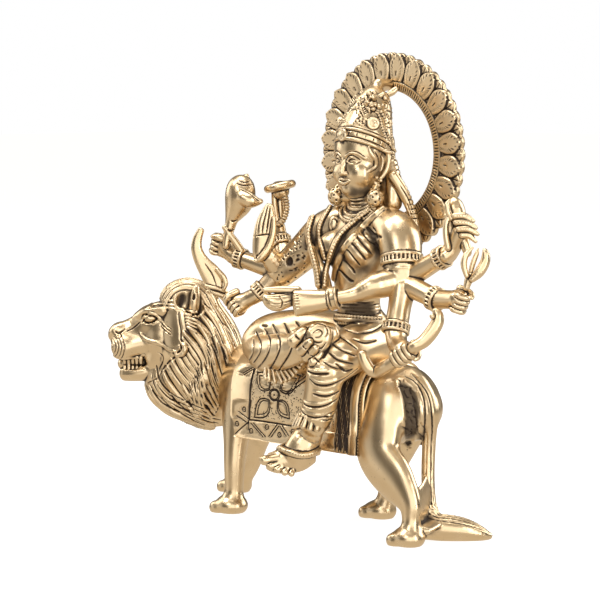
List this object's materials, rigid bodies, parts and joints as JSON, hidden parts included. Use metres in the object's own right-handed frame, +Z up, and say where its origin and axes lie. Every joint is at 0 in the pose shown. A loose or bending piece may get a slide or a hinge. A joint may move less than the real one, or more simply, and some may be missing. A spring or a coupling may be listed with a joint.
{
  "type": "durga figure",
  "caption": "Cast brass figure of a many-armed goddess seated sideways on a walking lion, with a lotus-petal halo behind her crowned head.",
  "frame": {"origin": "centre of the bounding box on the floor, at the height of the undersides of the paws", "axes": "+Z up; the goddess faces -Y; the lion walks towards -X"},
  "size_m": [0.2268, 0.085, 0.23],
  "materials": {
    "brass": "polished, with dark brown patina left in the recesses"
  },
  "bodies": {
    "root": {"lion": "brass", "durga": "brass", "halo": "brass"}
  },
  "joints": []
}
